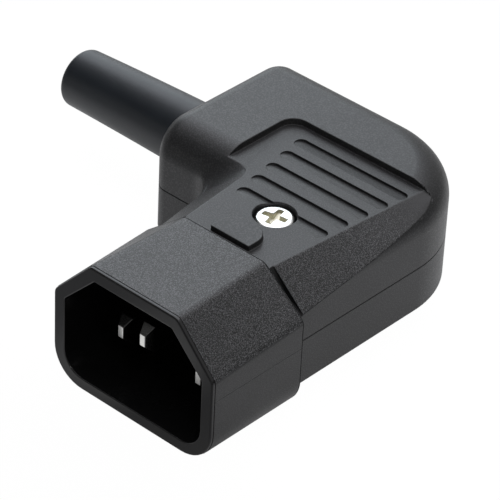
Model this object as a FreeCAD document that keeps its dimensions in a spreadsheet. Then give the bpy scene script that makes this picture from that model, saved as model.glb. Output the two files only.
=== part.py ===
import FreeCAD, Part
import math
import os

import Sketcher

# Angled rewireable appliance plug, in millimetres.
# The origin is the middle of the mating face: +X to the right looking into the shroud,
# +Y into the plug, +Z up. The cable leaves towards -X.

SIZES = {
    # Shroud outline, measured from the mating axis
    "shroud_width": 28.6,
    "shroud_rise": 10.65,
    "shroud_drop": 9.95,
    "shroud_length": 17.0,
    "front_chamfer_width": 6.5,
    "front_chamfer_height": 6.8,
    "rear_chamfer_width": 7.2,
    "rear_chamfer_height": 5.8,
    "shroud_bottom_round": 5.2,
    "shroud_edge_round": 1.4,
    "rim_bevel": 0.35,
    "rim_band": 1.2,
    # Mating cavity, inside the shroud's walls
    "shroud_side_wall": 2.0,
    "shroud_roof_wall": 2.05,
    "shroud_floor_wall": 1.85,
    "cavity_chamfer": 5.4,
    "cavity_depth": 15.6,
    "mouth_bevel": 0.2,
    # Neck and flange that the two shells clamp
    "neck_width": 18.0,
    "neck_rise": 5.0,
    "neck_drop": 6.0,
    "flange_margin": 0.6,
    "flange_rise": 4.0,
    "flange_drop": 5.0,
    "flange_thickness": 1.4,
    "barrier_thickness": 1.1,
    "barrier_length": 2.6,
    # Contact blades and their screw terminals
    "pin_spacing": 14.0,
    "pin_offset": 2.0,
    "blade_height": 4.0,
    "blade_thickness": 2.0,
    "power_tip_depth": 5.1,
    "earth_tip_depth": 1.95,
    "tip_length": 1.3,
    "tip_height": 1.8,
    "tip_thickness": 0.9,
    "terminal_width": 5.4,
    "terminal_length": 4.1,
    "terminal_height": 3.4,
    "washer_thickness": 0.8,
    "washer_margin": 0.2,
    "terminal_screw_diameter": 2.5,
    "terminal_head_diameter": 3.8,
    "terminal_head_height": 1.5,
    "terminal_slot_width": 0.6,
    "terminal_slot_depth": 0.7,
    # Shells: stem behind the shroud and arm towards the cable
    "stem_width": 26.6,
    "body_rear": 57.3,
    "arm_reach": 26.0,
    "arm_front": 30.1,
    "arm_front_round": 5.4,
    "inner_round": 5.2,
    "rear_round": 15.8,
    "top_round": 5.0,
    "bottom_bevel": 1.6,
    "arm_end_round": 2.7,
    "parting_level": 0.7,
    "border_level": 10.9,
    "panel_level": 9.9,
    "base_drop": 7.85,
    "panel_reach": 13.8,
    "border_width": 11.85,
    "panel_corner_round": 2.4,
    "side_wall": 2.4,
    "arm_front_wall": 2.8,
    "rear_wall": 3.8,
    "roof_wall": 2.2,
    "floor_wall": 2.2,
    "front_wall": 1.55,
    "haunch": 4.4,
    "haunch_level": 3.5,
    # Slanting facets beside the panel
    "facet_width": 5.5,
    "facet_height": 5.0,
    "inner_facet_end_width": 2.4,
    "inner_facet_end_height": 0.15,
    "outer_facet_end_width": 3.25,
    "outer_facet_end_height": 1.35,
    "relief_depth": 0.6,
    "relief_length": 0.8,
    # Grip grooves, screw recess and tab on the panel
    "groove_count": 5,
    "groove_margin": 3.35,
    "groove_pitch": 3.58,
    "groove_width": 2.0,
    "groove_depth": 0.36,
    "groove_round": 0.95,
    "groove_inner_reach": 10.1,
    "groove_inner_step": 0.65,
    "groove_outer_reach": 9.6,
    "groove_outer_step": 0.38,
    "tab_width": 6.8,
    "tab_slit": 0.8,
    "tab_length": 4.5,
    "tab_height": 0.85,
    "tab_round": 2.8,
    # Screw and nut that close the shells
    "fastener_place": 26.7,
    "fastener_diameter": 3.0,
    "fastener_head_diameter": 5.5,
    "fastener_head_height": 1.9,
    "fastener_head_bevel": 0.6,
    "fastener_length": 11.6,
    "fastener_clearance": 0.4,
    "recess_diameter": 6.0,
    "recess_depth": 2.2,
    "boss_diameter": 7.4,
    "nut_width": 5.5,
    "nut_thickness": 2.4,
    # Cable boot
    "boot_bore": 7.2,
    "boot_root_diameter": 10.3,
    "boot_tip_diameter": 9.0,
    "boot_length": 27.2,
    "boot_tip_bevel": 0.55,
    "boot_flange_diameter": 13.0,
    "boot_flange_thickness": 2.0,
    # Cord grip inside the arm
    "grip_place": 16.6,
    "grip_width": 4.4,
    "grip_margin": 0.7,
    "grip_height": 4.6,
    "grip_groove": 7.4,
    "grip_screw_inset": 2.9,
    "grip_screw_diameter": 2.8,
    "grip_head_diameter": 4.6,
    "grip_head_height": 1.6,
    "grip_slot_width": 0.8,
    "grip_slot_depth": 0.8,
    "grip_screw_length": 9.0,
    "grip_post_diameter": 5.8,
    # Fits
    "seam_gap": 0.1,
    "seat_clearance": 0.1,
    "pin_clearance": 0.05,
    "thread_clearance": 0.05,
}


class Size:
    """A length with its value and the sheet expression that drives it."""

    def __init__(self, value, text):
        self.value = float(value)
        self.text = text

    @staticmethod
    def of(other):
        return other if isinstance(other, Size) else Size(other, repr(float(other)))

    def __add__(self, other):
        other = Size.of(other)
        return Size(self.value + other.value, f"({self.text} + {other.text})")

    def __sub__(self, other):
        other = Size.of(other)
        return Size(self.value - other.value, f"({self.text} - {other.text})")

    def __mul__(self, other):
        other = Size.of(other)
        return Size(self.value * other.value, f"({self.text} * {other.text})")

    def __truediv__(self, other):
        other = Size.of(other)
        return Size(self.value / other.value, f"({self.text} / {other.text})")

    def __neg__(self):
        return Size(-self.value, f"(-1 * {self.text})")

    def __radd__(self, other):
        return Size.of(other) + self

    def __rsub__(self, other):
        return Size.of(other) - self

    def __rmul__(self, other):
        return Size.of(other) * self


doc = FreeCAD.newDocument("angled_plug")
sheet = doc.addObject("Spreadsheet::Sheet", "Sizes")
for row, (alias, number) in enumerate(SIZES.items(), start=1):
    sheet.set(f"A{row}", alias)
    sheet.set(f"B{row}", str(number))
    sheet.setAlias(f"B{row}", alias)
doc.recompute()


def size(alias):
    """The named size of the sheet."""
    return Size(sheet.get(alias), f"Sizes.{alias}")


ZERO = Size(0, "0")

# Places that several pieces share
half_stem = size("stem_width") / 2
stem_front = size("shroud_length") + size("seam_gap")
chamber_front = stem_front + size("front_wall")
flange_front = chamber_front + size("seat_clearance")
flange_rear = flange_front + size("flange_thickness")
shroud_bottom = -size("shroud_drop")
cavity_half = size("shroud_width") / 2 - size("shroud_side_wall")
cavity_top = size("shroud_rise") - size("shroud_roof_wall")
cavity_bottom = shroud_bottom + size("shroud_floor_wall")
base_bottom = -size("base_drop")
parting = size("parting_level")
stem_crest = (size("panel_level") + size("border_level")) / 2
roof = size("panel_level") - size("roof_wall")
chamber_floor = base_bottom + size("floor_wall")
cover_bottom = parting + size("seam_gap") / 2
base_top = parting - size("seam_gap") / 2
arm_face = -size("arm_reach")
arm_inside = arm_face + size("side_wall")
arm_chamber_front = size("arm_front") + size("arm_front_wall")
inner_stem_rear = size("arm_front") + size("arm_front_round")
rear_round_start = size("body_rear") - size("rear_round")
vault_half = half_stem - size("side_wall") - size("haunch")
fastener_y = size("fastener_place")
arm_chamber_rear = size("body_rear") - size("rear_wall")
boot_y = (arm_chamber_front + arm_chamber_rear) / 2
panel_rear = size("body_rear") - size("border_width")
grip_half = (arm_chamber_rear - arm_chamber_front) / 2 - size("grip_margin")
grip_spread = grip_half - size("grip_screw_inset")
OVERCUT = Size(1.0, "1.0")
NEARNESS = 0.01
LEAST_CUT = 0.01


# Helpers for bodies, sketches and features

def new_body(label):
    """An empty body for one piece."""
    body = doc.addObject("PartDesign::Body", label)
    body.Label = label
    return body


def place(body, x, y, z):
    """Moves a body to a point given by sizes."""
    for axis, value in (("x", x), ("y", y), ("z", z)):
        body.setExpression(f"Placement.Base.{axis}", Size.of(value).text)


def origin_part(body, role):
    """One of the planes or axes of the body's origin."""
    return next(p for p in body.Origin.OriginFeatures if getattr(p, "Role", "") == role)


def sketch_on(body, plane, offset, name):
    """A sketch on one of the body's own origin planes, shifted along its normal."""
    sketch = body.newObject("Sketcher::SketchObject", name)
    sketch.AttachmentSupport = (origin_part(body, plane), "")
    sketch.MapMode = "FlatFace"
    sketch.setExpression("AttachmentOffset.Base.z", Size.of(offset).text)
    return sketch


def fix_point(sketch, geometry, position, x, y):
    """Ties a point of a sketch to two sizes."""
    for kind, value in (("DistanceX", x), ("DistanceY", y)):
        value = Size.of(value)
        index = sketch.addConstraint(Sketcher.Constraint(kind, -1, 1, geometry, position, value.value))
        sketch.setExpression(f"Constraints[{index}]", value.text)


def fix_radius(sketch, geometry, radius):
    """Ties the radius of an arc or a circle to a size."""
    index = sketch.addConstraint(Sketcher.Constraint("Radius", geometry, radius.value))
    sketch.setExpression(f"Constraints[{index}]", radius.text)


def draw_circle(sketch, x, y, diameter):
    """A circle about a point given by sizes."""
    radius = Size.of(diameter) / 2
    x = Size.of(x)
    y = Size.of(y)
    centre = FreeCAD.Vector(x.value, y.value, 0)
    circle = sketch.addGeometry(Part.Circle(centre, FreeCAD.Vector(0, 0, 1), radius.value), False)
    fix_point(sketch, circle, 3, x, y)
    fix_radius(sketch, circle, radius)


def draw_outline(sketch, corners):
    """A closed outline of straight sides. A corner is (x, y), or (x, y, radius) where it is rounded."""
    spots = [FreeCAD.Vector(Size.of(c[0]).value, Size.of(c[1]).value, 0) for c in corners]
    count = len(spots)
    entries = []
    exits = []
    arcs = []
    for i, corner in enumerate(corners):
        spot = spots[i]
        if len(corner) == 2:
            entries.append(spot)
            exits.append(spot)
            arcs.append(None)
            continue
        back = (spots[i - 1] - spot).normalize()
        ahead = (spots[(i + 1) % count] - spot).normalize()
        half_angle = back.getAngle(ahead) / 2
        reach = corner[2].value / math.tan(half_angle)
        entry = spot + back * reach
        leave = spot + ahead * reach
        middle = spot + (back + ahead).normalize() * (corner[2].value / math.sin(half_angle))
        entries.append(entry)
        exits.append(leave)
        arcs.append((middle, back.cross(ahead).z < 0))
    lines = []
    for i in range(count):
        side = Part.LineSegment(exits[i], entries[(i + 1) % count])
        lines.append(sketch.addGeometry(side, False))
    for i, corner in enumerate(corners):
        before = lines[i - 1]
        after = lines[i]
        if arcs[i] is None:
            sketch.addConstraint(Sketcher.Constraint("Coincident", before, 2, after, 1))
            fix_point(sketch, after, 1, corner[0], corner[1])
            continue
        middle, left_turn = arcs[i]
        first = entries[i] if left_turn else exits[i]
        last = exits[i] if left_turn else entries[i]
        start = math.atan2(first.y - middle.y, first.x - middle.x)
        end = math.atan2(last.y - middle.y, last.x - middle.x)
        circle = Part.Circle(middle, FreeCAD.Vector(0, 0, 1), corner[2].value)
        arc = sketch.addGeometry(Part.ArcOfCircle(circle, start, end), False)
        sketch.addConstraint(Sketcher.Constraint("Tangent", before, 2, arc, 1 if left_turn else 2))
        sketch.addConstraint(Sketcher.Constraint("Tangent", after, 1, arc, 2 if left_turn else 1))
        fix_radius(sketch, arc, corner[2])
        tip = sketch.addGeometry(Part.Point(spots[i]), True)
        sketch.addConstraint(Sketcher.Constraint("PointOnObject", tip, 1, before))
        sketch.addConstraint(Sketcher.Constraint("PointOnObject", tip, 1, after))
        fix_point(sketch, tip, 1, corner[0], corner[1])


def rectangle(x_low, x_high, y_low, y_high, *radius):
    """Corners of an upright rectangle, all rounded by the radius if there is one."""
    return [
        (x_low, y_low, *radius),
        (x_high, y_low, *radius),
        (x_high, y_high, *radius),
        (x_low, y_high, *radius),
    ]


def pad(body, sketch, length, reverse=False):
    """Adds the sketch's outline to the body over a length."""
    feature = body.newObject("PartDesign::Pad", f"{sketch.Name}_pad")
    feature.Profile = sketch
    feature.setExpression("Length", Size.of(length).text)
    feature.Reversed = reverse
    doc.recompute()
    return feature


def pocket(body, sketch, length, reverse=False):
    """Cuts the sketch's outline out of the body over a length."""
    before = body.Shape.Volume
    feature = body.newObject("PartDesign::Pocket", f"{sketch.Name}_pocket")
    feature.Profile = sketch
    feature.setExpression("Length", Size.of(length).text)
    feature.Reversed = reverse
    doc.recompute()
    if before - body.Shape.Volume < LEAST_CUT:
        raise RuntimeError(f"{feature.Label} cuts nothing")
    return feature


def loft(body, kind, first, last):
    """Adds or cuts a straight-sided form between two sketches."""
    feature = body.newObject(f"PartDesign::{kind}", f"{first.Name}_loft")
    feature.Profile = first
    feature.Sections = [last]
    feature.Ruled = True
    doc.recompute()
    return feature


def dress_edges(body, kind, quantity, amount, wanted):
    """Rounds or bevels the edges of the body's tip whose middle point the test accepts."""
    base = body.Tip
    names = []
    for number, edge in enumerate(base.Shape.Edges, start=1):
        if wanted(edge.valueAt((edge.FirstParameter + edge.LastParameter) / 2)):
            names.append(f"Edge{number}")
    feature = body.newObject(f"PartDesign::{kind}", f"{body.Label}_{kind.lower()}")
    feature.Base = (base, names)
    feature.setExpression(quantity, amount.text)
    doc.recompute()
    if not feature.Shape.isValid():
        raise RuntimeError(f"{feature.Label} fails on {names}")
    return feature


def fillet(body, radius, wanted):
    """Rounds the accepted edges."""
    return dress_edges(body, "Fillet", "Radius", radius, wanted)


def chamfer(body, amount, wanted):
    """Bevels the accepted edges."""
    return dress_edges(body, "Chamfer", "Size", amount, wanted)


def revolve(body, sketch, axis):
    """Turns the sketch's outline once round an axis of the body."""
    feature = body.newObject("PartDesign::Revolution", f"{sketch.Name}_turned")
    feature.Profile = sketch
    feature.ReferenceAxis = (origin_part(body, axis), [""])
    feature.Angle = 360
    doc.recompute()
    return feature


def near(value, target):
    """Whether a coordinate is at a size."""
    return abs(value - Size.of(target).value) < NEARNESS


# Shroud: the moulding that carries the blades

def shroud_outline(chamfer_width, chamfer_height):
    """Outside of the shroud, with the two upper corners cut off."""
    half = size("shroud_width") / 2
    top = size("shroud_rise")
    low_round = size("shroud_bottom_round")
    edge_round = size("shroud_edge_round")
    return [
        (-half, shroud_bottom, low_round),
        (half, shroud_bottom, low_round),
        (half, top - chamfer_height, edge_round),
        (half - chamfer_width, top, edge_round),
        (chamfer_width - half, top, edge_round),
        (-half, top - chamfer_height, edge_round),
    ]


def on_cavity(middle):
    """Whether a point of the rim's face lies on the cavity's edge rather than on the outer one."""
    wide = abs(middle.x) < cavity_half.value + NEARNESS
    tall = cavity_bottom.value - NEARNESS < middle.z < cavity_top.value + NEARNESS
    return wide and tall


def make_shroud():
    """Sleeve with the cavity, and behind it the neck, the flange and the terminals' seats."""
    body = new_body("shroud")
    front_section = shroud_outline(size("front_chamfer_width"), size("front_chamfer_height"))
    rear_section = shroud_outline(size("rear_chamfer_width"), size("rear_chamfer_height"))
    rim = sketch_on(body, "XZ_Plane", ZERO, "rim_outline")
    draw_outline(rim, front_section)
    pad(body, rim, size("rim_band"), reverse=True)
    chamfer(body, size("rim_bevel"), lambda m: near(m.y, 0))
    front = sketch_on(body, "XZ_Plane", -size("rim_band"), "sleeve_front")
    draw_outline(front, front_section)
    rear = sketch_on(body, "XZ_Plane", -size("shroud_length"), "sleeve_rear")
    draw_outline(rear, rear_section)
    loft(body, "AdditiveLoft", front, rear)

    cavity = sketch_on(body, "XZ_Plane", ZERO, "cavity_outline")
    cut = size("cavity_chamfer")
    low_round = size("shroud_bottom_round") - size("shroud_floor_wall")
    draw_outline(cavity, [
        (-cavity_half, cavity_bottom, low_round),
        (cavity_half, cavity_bottom, low_round),
        (cavity_half, cavity_top - cut),
        (cavity_half - cut, cavity_top),
        (cut - cavity_half, cavity_top),
        (-cavity_half, cavity_top - cut),
    ])
    pocket(body, cavity, size("cavity_depth"))
    chamfer(body, size("mouth_bevel"), lambda m: near(m.y, 0) and on_cavity(m))

    neck = sketch_on(body, "XZ_Plane", -size("shroud_length"), "neck_outline")
    neck_half = size("neck_width") / 2
    draw_outline(neck, rectangle(-neck_half, neck_half, -size("neck_drop"), size("neck_rise")))
    pad(body, neck, flange_rear - size("shroud_length"), reverse=True)
    flange = sketch_on(body, "XZ_Plane", -flange_front, "flange_outline")
    seat_half = size("terminal_width") / 2 + size("seat_clearance")
    flange_half = size("pin_spacing") / 2 + seat_half + size("flange_margin")
    draw_outline(flange, rectangle(-flange_half, flange_half, -size("flange_drop"), size("flange_rise")))
    pad(body, flange, size("flange_thickness"), reverse=True)

    barriers = sketch_on(body, "XZ_Plane", -flange_rear, "barrier_outline")
    middle = size("pin_spacing") / 4
    thick = size("barrier_thickness") / 2
    for side in (-1, 1):
        draw_outline(barriers, rectangle(side * middle - thick, side * middle + thick,
                                         -size("flange_drop"), size("flange_rise")))
    pad(body, barriers, size("barrier_length"), reverse=True)

    seats = sketch_on(body, "XZ_Plane", -flange_front, "terminal_seats")
    for x, z, head_room in terminal_places():
        low = z - size("blade_height") / 2 - size("seat_clearance")
        draw_outline(seats, rectangle(x - seat_half, x + seat_half, low, head_room))
    pocket(body, seats, size("flange_thickness") + OVERCUT)

    slots = sketch_on(body, "XZ_Plane", ZERO, "blade_slots")
    thick = size("blade_thickness") / 2 + size("pin_clearance")
    tall = size("blade_height") / 2 + size("pin_clearance")
    for x, z, _ in terminal_places():
        draw_outline(slots, rectangle(x - thick, x + thick, z - tall, z + tall))
    pocket(body, slots, flange_rear)
    return body


def terminal_places():
    """Blade centre (x, z) and the level that the terminal's screw needs free, for live, neutral, earth."""
    spread = size("pin_spacing") / 2
    drop = -size("pin_offset")
    rise = size("pin_offset")
    stack = size("terminal_height") - size("blade_height") / 2 + size("washer_thickness")
    stack = stack + size("terminal_head_height") + size("seat_clearance") * 2
    return [
        (-spread, drop, drop + stack),
        (spread, drop, drop + stack),
        (ZERO, rise, size("neck_rise") + OVERCUT),
    ]


# Blades with their terminals, washers and screws: each is drawn about its blade's axis

def make_pin(label, x, z, tip_depth):
    """A contact blade with its tapered tip, and the tapped block that takes the wire."""
    body = new_body(label)
    thick = size("blade_thickness") / 2
    tall = size("blade_height") / 2
    tip_thick = size("tip_thickness") / 2
    tip_tall = size("tip_height") / 2
    root_depth = tip_depth + size("tip_length")
    tip = sketch_on(body, "XZ_Plane", -tip_depth, f"{label}_tip")
    draw_outline(tip, rectangle(-tip_thick, tip_thick, -tip_tall, tip_tall))
    root = sketch_on(body, "XZ_Plane", -root_depth, f"{label}_tip_root")
    draw_outline(root, rectangle(-thick, thick, -tall, tall))
    loft(body, "AdditiveLoft", tip, root)
    blade = sketch_on(body, "XZ_Plane", -root_depth, f"{label}_blade")
    draw_outline(blade, rectangle(-thick, thick, -tall, tall))
    pad(body, blade, flange_front - root_depth, reverse=True)
    block = sketch_on(body, "XZ_Plane", -flange_front, f"{label}_terminal")
    wide = size("terminal_width") / 2
    draw_outline(block, rectangle(-wide, wide, -tall, size("terminal_height") - tall))
    pad(body, block, size("terminal_length"), reverse=True)
    tapped = sketch_on(body, "XY_Plane", size("terminal_height") - tall, f"{label}_thread")
    bore = size("terminal_screw_diameter") + size("thread_clearance") * 2
    draw_circle(tapped, 0, flange_front + size("terminal_length") / 2, bore)
    pocket(body, tapped, size("terminal_height") + OVERCUT)
    place(body, x, 0, z)
    return body


def terminal_top(z):
    """Level of the face that clamps the wire, for a blade at height z."""
    return z - size("blade_height") / 2 + size("terminal_height")


def make_washer(label, x, z):
    """The plate under a terminal's screw."""
    body = new_body(label)
    plate = sketch_on(body, "XY_Plane", ZERO, f"{label}_plate")
    wide = size("terminal_width") / 2 - size("washer_margin")
    deep = size("terminal_length") / 2 - size("washer_margin")
    draw_outline(plate, rectangle(-wide, wide, -deep, deep))
    pad(body, plate, size("washer_thickness"))
    hole = sketch_on(body, "XY_Plane", size("washer_thickness"), f"{label}_hole")
    draw_circle(hole, 0, 0, size("terminal_screw_diameter") + size("thread_clearance") * 2)
    pocket(body, hole, size("washer_thickness") + OVERCUT)
    place(body, x, flange_front + size("terminal_length") / 2, terminal_top(z))
    return body


def make_slotted_screw(label, kind, shank_length, x, y, z):
    """A cheese-head screw of the named kind, with the underside of its head at the given point."""
    body = new_body(label)
    head_diameter = size(f"{kind}_head_diameter")
    head_height = size(f"{kind}_head_height")
    shank_diameter = size(f"{kind}_screw_diameter")
    profile = sketch_on(body, "XZ_Plane", ZERO, f"{label}_profile")
    draw_outline(profile, [
        (0, -shank_length),
        (shank_diameter / 2, -shank_length),
        (shank_diameter / 2, 0),
        (head_diameter / 2, 0),
        (head_diameter / 2, head_height),
        (0, head_height),
    ])
    revolve(body, profile, "Z_Axis")
    slot = sketch_on(body, "XY_Plane", head_height, f"{label}_slot")
    reach = head_diameter / 2 + OVERCUT
    wide = size(f"{kind}_slot_width") / 2
    draw_outline(slot, rectangle(-reach, reach, -wide, wide))
    pocket(body, slot, size(f"{kind}_slot_depth"))
    place(body, x, y, z)
    return body


# Shells

def shell_outline(stem_inside, *rounds):
    """The arm with the stem up to its inner side. The rounds are those of the arm's end and inner corner."""
    arm_corner = rounds[:1]
    inner_corner = rounds[1:]
    return [
        (half_stem, stem_front),
        (half_stem, size("body_rear"), size("rear_round")),
        (arm_face, size("body_rear"), *arm_corner),
        (arm_face, size("arm_front"), *arm_corner),
        (stem_inside, size("arm_front"), *inner_corner),
        (stem_inside, stem_front),
    ]


def chamber_outline(half_width):
    """The room inside the walls, as wide in the stem as asked for."""
    corner_round = size("rear_round") - half_stem + half_width
    return [
        (half_width, chamber_front),
        (half_width, arm_chamber_rear, corner_round),
        (arm_inside, arm_chamber_rear),
        (arm_inside, arm_chamber_front),
        (-half_width, arm_chamber_front),
        (-half_width, chamber_front),
    ]


def in_inner_corner(middle):
    """Whether a point of the cover lies where the arm's front meets the inner side of the stem."""
    beside = -half_stem.value - NEARNESS < middle.x < 0
    ahead = size("arm_front").value - NEARNESS < middle.y < inner_stem_rear.value
    return beside and ahead and cover_bottom.value + NEARNESS < middle.z < stem_crest.value - NEARNESS


def along_rear(middle):
    """Whether a point of the cover's outline lies on its outer side or its rear."""
    outside = middle.x > half_stem.value - NEARNESS
    return outside or (middle.y > rear_round_start.value and not near(middle.x, arm_face))


def facet_size(side, name, y):
    """Width or height of the inner or outer facet at a place along the stem."""
    share = (y - stem_front) / (panel_rear - stem_front)
    start = size(f"facet_{name}")
    return start + (size(f"{side}_facet_end_{name}") - start) * share


def open_shell(body):
    """Cuts the neck's opening in the front wall and the boot's in the arm's end wall."""
    neck = sketch_on(body, "XZ_Plane", -stem_front, f"{body.Label}_neck_opening")
    gap = size("seat_clearance")
    wide = size("neck_width") / 2 + gap
    draw_outline(neck, rectangle(-wide, wide, -size("neck_drop") - gap, size("neck_rise") + gap))
    pocket(body, neck, flange_rear + gap - stem_front)
    boot = sketch_on(body, "YZ_Plane", arm_face, f"{body.Label}_boot_opening")
    draw_circle(boot, boot_y, parting, size("boot_root_diameter") + gap * 2)
    pocket(body, boot, size("side_wall") + OVERCUT, reverse=True)


def make_cover():
    """Upper shell: border, sunk panel, facets, grip grooves, screw recess and tab."""
    body = new_body("cover")
    top = size("border_level")
    block = sketch_on(body, "XY_Plane", cover_bottom, "cover_outline")
    draw_outline(block, shell_outline(ZERO))
    pad(body, block, top - cover_bottom)
    arm_round = sketch_on(body, "YZ_Plane", ZERO, "arm_front_outline")
    front = size("arm_front")
    draw_outline(arm_round, [
        (front - OVERCUT, top + OVERCUT),
        (front - OVERCUT, parting),
        (front, parting),
        (front, top, size("arm_front_round")),
        (inner_stem_rear + OVERCUT, top),
        (inner_stem_rear + OVERCUT, top + OVERCUT),
    ])
    pocket(body, arm_round, size("arm_reach") + OVERCUT)
    fillet(body, size("top_round"), lambda m: near(m.z, top) and along_rear(m))
    low = cover_bottom.value + NEARNESS
    fillet(body, size("arm_end_round"), lambda m: near(m.x, arm_face) and m.z > low)
    add_inner_stem(body)
    fillet(body, size("inner_round"), in_inner_corner)

    panel = sketch_on(body, "XY_Plane", size("panel_level"), "panel_outline")
    draw_outline(panel, [
        (-size("panel_reach"), stem_front - OVERCUT),
        (half_stem + OVERCUT, stem_front - OVERCUT),
        (half_stem + OVERCUT, panel_rear),
        (-size("panel_reach"), panel_rear, size("panel_corner_round")),
    ])
    pocket(body, panel, size("border_level") - size("panel_level") + OVERCUT, reverse=True)

    cut_grip_grooves(body)
    cut_outer_facet(body)
    cut_facet_reliefs(body)

    chamber = sketch_on(body, "XY_Plane", cover_bottom, "cover_chamber")
    draw_outline(chamber, chamber_outline(half_stem - size("side_wall")))
    pocket(body, chamber, size("haunch_level"), reverse=True)
    vault = sketch_on(body, "XY_Plane", cover_bottom, "cover_vault")
    draw_outline(vault, chamber_outline(vault_half))
    pocket(body, vault, roof - cover_bottom, reverse=True)
    open_shell(body)

    boss = sketch_on(body, "XY_Plane", cover_bottom, "cover_boss")
    draw_circle(boss, 0, fastener_y, size("boss_diameter"))
    pad(body, boss, roof - cover_bottom)
    recess = sketch_on(body, "XY_Plane", size("panel_level"), "screw_recess")
    draw_circle(recess, 0, fastener_y, size("recess_diameter"))
    pocket(body, recess, size("recess_depth"))
    hole = sketch_on(body, "XY_Plane", size("panel_level"), "screw_hole")
    draw_circle(hole, 0, fastener_y, size("fastener_diameter") + size("fastener_clearance"))
    pocket(body, hole, size("panel_level") - cover_bottom + OVERCUT)

    tab = sketch_on(body, "XY_Plane", size("panel_level"), "tab_outline")
    tab_front = stem_front + size("tab_slit")
    tab_rear = tab_front + size("tab_length")
    wide = size("tab_width") / 2
    draw_outline(tab, [
        (-wide, tab_front),
        (wide, tab_front),
        (wide, tab_rear, size("tab_round")),
        (-wide, tab_rear, size("tab_round")),
    ])
    pad(body, tab, size("tab_height"))
    return body


def add_inner_stem(body):
    """The half of the stem on the arm's side, with its slanting facet."""
    def section(y, name):
        sketch = sketch_on(body, "XZ_Plane", -y, name)
        level = size("panel_level")
        width = facet_size("inner", "width", y)
        height = facet_size("inner", "height", y)
        draw_outline(sketch, [
            (-half_stem, cover_bottom),
            (OVERCUT, cover_bottom),
            (OVERCUT, stem_crest),
            (width + width * (stem_crest - level) / height - half_stem, stem_crest),
            (-half_stem, level - height),
        ])
        return sketch

    first = section(stem_front, "inner_stem_front")
    last = section(inner_stem_rear, "inner_stem_end")
    loft(body, "AdditiveLoft", first, last)


def cut_outer_facet(body):
    """The slanting facet on the other side of the stem, which fades out towards the rear."""
    def section(y, name):
        sketch = sketch_on(body, "XZ_Plane", -y, name)
        level = size("panel_level")
        edge = half_stem - facet_size("outer", "width", y)
        low = level - facet_size("outer", "height", y)
        high = level + OVERCUT * 2
        outside = half_stem + OVERCUT
        draw_outline(sketch, [(edge, level), (half_stem, low), (outside, low), (outside, high), (edge, high)])
        return sketch

    first = section(stem_front, "outer_facet_front")
    last = section(panel_rear, "outer_facet_end")
    loft(body, "SubtractiveLoft", first, last)


def cut_facet_reliefs(body):
    """A shallow pocket at the front of each facet, which shades the joint with the shroud."""
    reliefs = sketch_on(body, "XZ_Plane", -stem_front, "facet_reliefs")
    level = size("panel_level")
    wide = size("facet_width")
    tall = size("facet_height")
    outside = half_stem + OVERCUT
    for side in (-1, 1):
        draw_outline(reliefs, [
            (side * (half_stem - wide), level),
            (side * (half_stem - wide / 2 - size("relief_depth")), level - tall / 2 - size("relief_depth")),
            (side * half_stem, level - tall),
            (side * outside, level - tall),
            (side * outside, level),
        ])
    pocket(body, reliefs, size("relief_length"))


def cut_grip_grooves(body):
    """Grip grooves: each drops at its rear edge and ramps up again to the front."""
    level = size("panel_level")
    half = size("groove_width") / 2
    depth = size("groove_depth")
    spans = []
    grooves = sketch_on(body, "XY_Plane", level, "grip_grooves")
    for number in range(int(size("groove_count").value)):
        y = panel_rear - size("groove_margin") - size("groove_pitch") * number
        left = size("groove_inner_step") * number - size("groove_inner_reach")
        right = size("groove_outer_reach") - size("groove_outer_step") * number
        draw_outline(grooves, rectangle(left, right, y - half, y + half, size("groove_round")))
        spans.append((y, left - depth, right + depth))
    pocket(body, grooves, depth)
    for number, (y, left, right) in enumerate(spans, start=1):
        ramp = sketch_on(body, "YZ_Plane", left, f"grip_ramp_{number}")
        draw_outline(ramp, [(y - half, level), (y - half - depth, level - depth), (y + half, level - depth)])
        pad(body, ramp, right - left)


def make_base():
    """Lower shell with the nut's pocket, the posts of the cord grip and the collar's seat."""
    body = new_body("base")
    block = sketch_on(body, "XY_Plane", base_top, "base_outline")
    draw_outline(block, shell_outline(-half_stem, size("arm_end_round"), size("inner_round")))
    pad(body, block, base_top - base_bottom, reverse=True)
    chamfer(body, size("bottom_bevel"), lambda m: near(m.z, base_bottom) and not near(m.y, stem_front))

    chamber = sketch_on(body, "XY_Plane", base_top, "base_chamber")
    draw_outline(chamber, chamber_outline(half_stem - size("side_wall")))
    pocket(body, chamber, base_top - chamber_floor)
    open_shell(body)
    collar = sketch_on(body, "YZ_Plane", arm_inside, "collar_seat")
    gap = size("seat_clearance") * 2
    draw_circle(collar, boot_y, parting, size("boot_flange_diameter") + gap)
    pocket(body, collar, size("boot_flange_thickness") + gap, reverse=True)

    boss = sketch_on(body, "XY_Plane", cover_bottom, "base_boss")
    draw_circle(boss, 0, fastener_y, size("boss_diameter"))
    pad(body, boss, cover_bottom - chamber_floor, reverse=True)
    posts = sketch_on(body, "XY_Plane", parting, "grip_posts")
    for side in (-1, 1):
        draw_circle(posts, -size("grip_place"), boot_y + side * grip_spread,
                    size("grip_post_diameter"))
    pad(body, posts, parting - chamber_floor, reverse=True)

    nut = sketch_on(body, "XY_Plane", cover_bottom, "nut_pocket")
    draw_outline(nut, hexagon(size("nut_width") + size("seat_clearance") * 2, fastener_y))
    pocket(body, nut, size("nut_thickness") + size("seat_clearance"))
    bore = sketch_on(body, "XY_Plane", cover_bottom, "fastener_bore")
    draw_circle(bore, 0, fastener_y, size("fastener_diameter") + size("thread_clearance") * 2)
    pocket(body, bore, cover_bottom - roof + size("fastener_length") + OVERCUT)
    pilots = sketch_on(body, "XY_Plane", parting, "grip_pilots")
    for side in (-1, 1):
        draw_circle(pilots, -size("grip_place"), boot_y + side * grip_spread,
                    size("grip_screw_diameter") + size("thread_clearance") * 2)
    pocket(body, pilots, size("grip_screw_length") - size("grip_height") + OVERCUT)
    return body


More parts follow.
